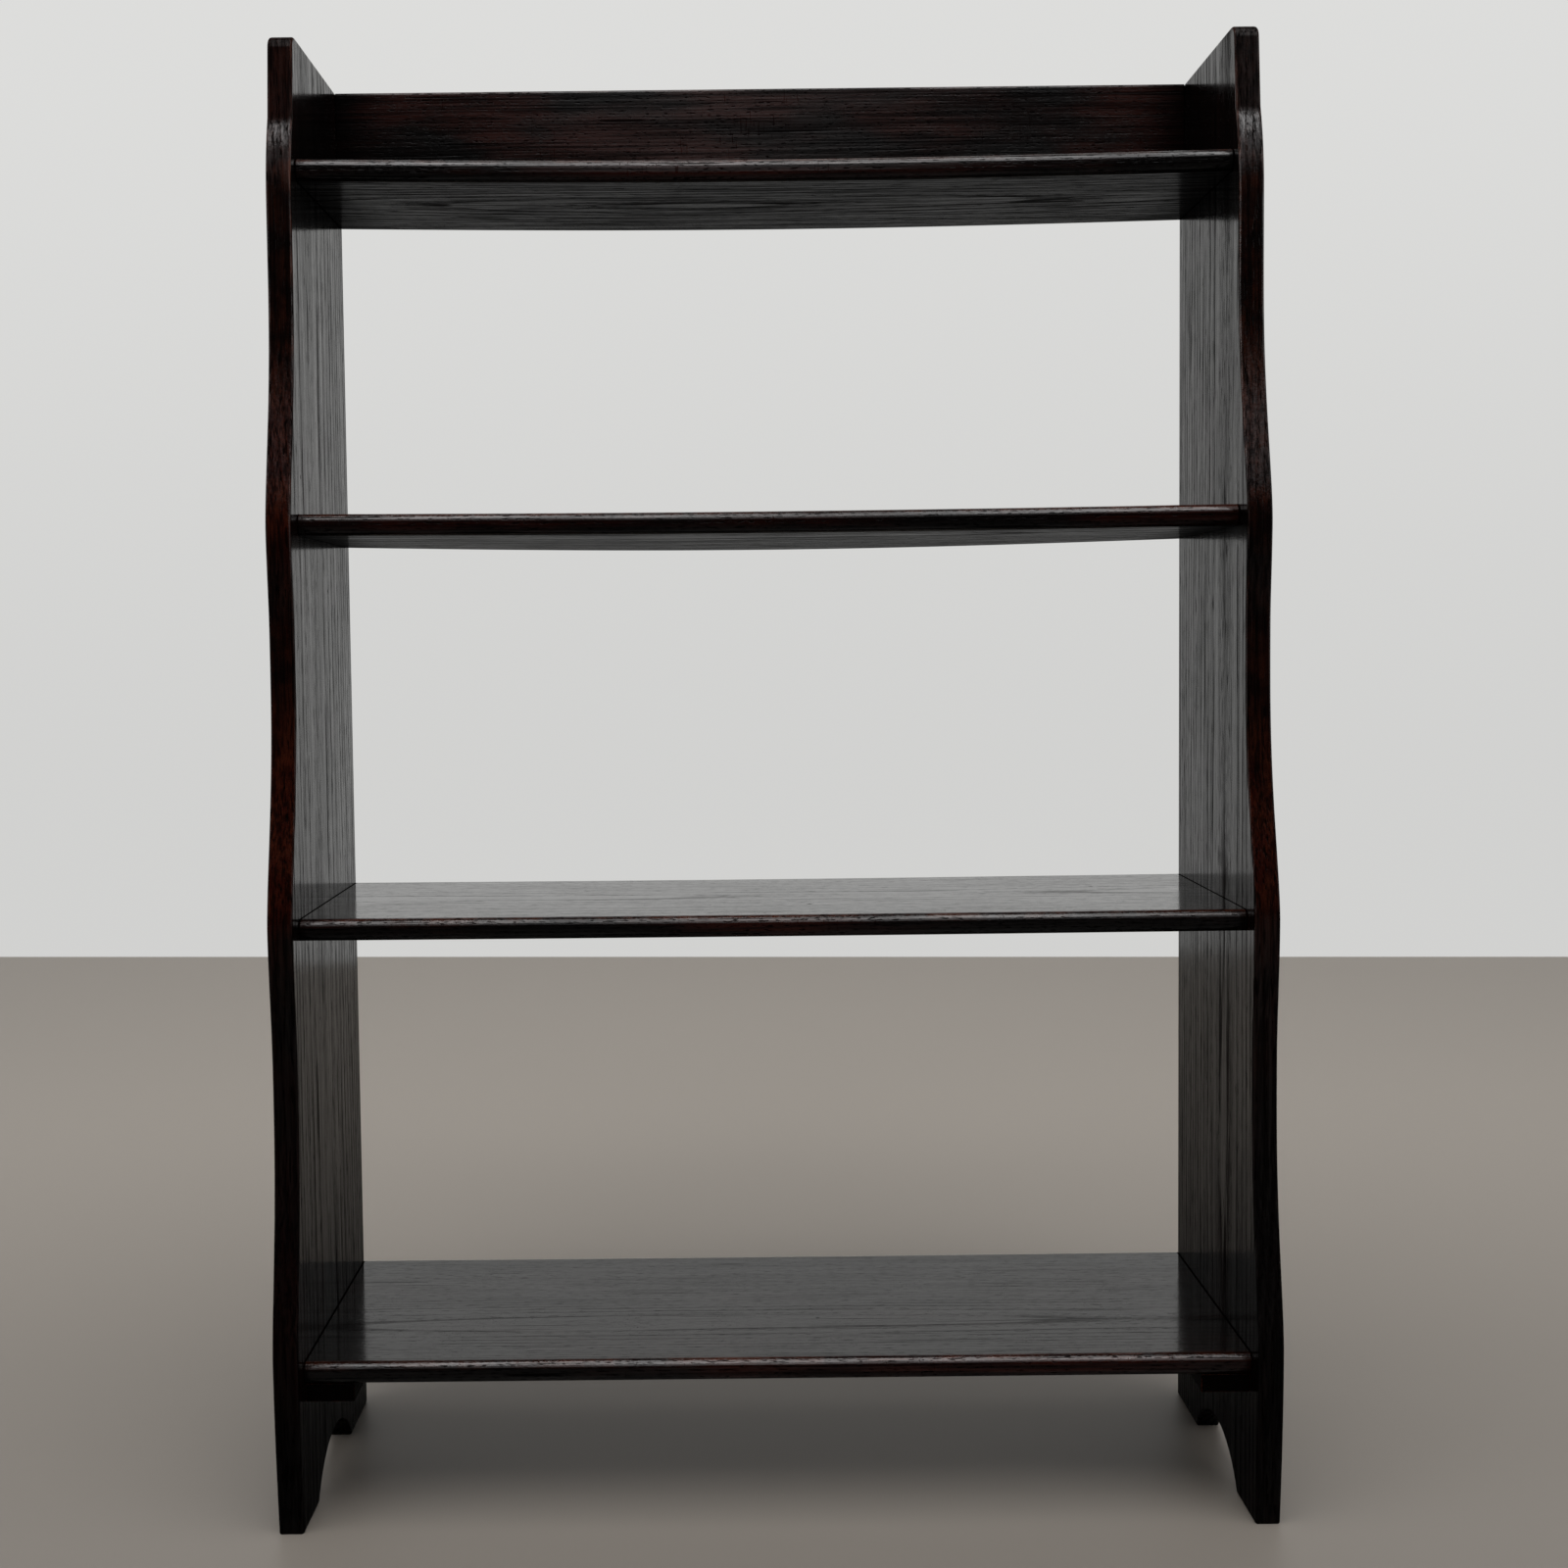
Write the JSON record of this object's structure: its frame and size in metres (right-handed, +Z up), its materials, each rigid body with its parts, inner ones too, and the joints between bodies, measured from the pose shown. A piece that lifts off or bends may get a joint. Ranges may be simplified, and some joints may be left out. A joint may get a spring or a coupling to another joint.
{
  "type": "open bookcase",
  "caption": "Free-standing open bookcase in dark oak, with waved stepped sides, housed shelves, a back rail over the top shelf, bearers under the bottom shelf and arched feet.",
  "frame": {"origin": "middle of the outline on the floor: halfway between the outer faces of the sides, and halfway between the back faces and the foremost bulge of the sides, at the underside of the feet", "axes": "+X to the right seen from the front, +Y to the back (towards the wall), +Z up"},
  "size_m": [0.75, 0.2316, 1.127],
  "materials": {
    "stained_oak": "near-black stained oak, polished, open grain",
    "screw_steel": "plain steel wood screws",
    "pellet_oak": "stained oak pellets cut flush"
  },
  "bodies": {
    "root": {"left_side": "stained_oak", "right_side": "stained_oak", "top_shelf": "stained_oak", "second_shelf": "stained_oak", "third_shelf": "stained_oak", "bottom_shelf": "stained_oak", "back_rail": "stained_oak", "left_bearer": "stained_oak", "right_bearer": "stained_oak", "side_screws": "screw_steel", "screw_pellets": "pellet_oak", "bearer_screws": "screw_steel"}
  },
  "joints": []
}
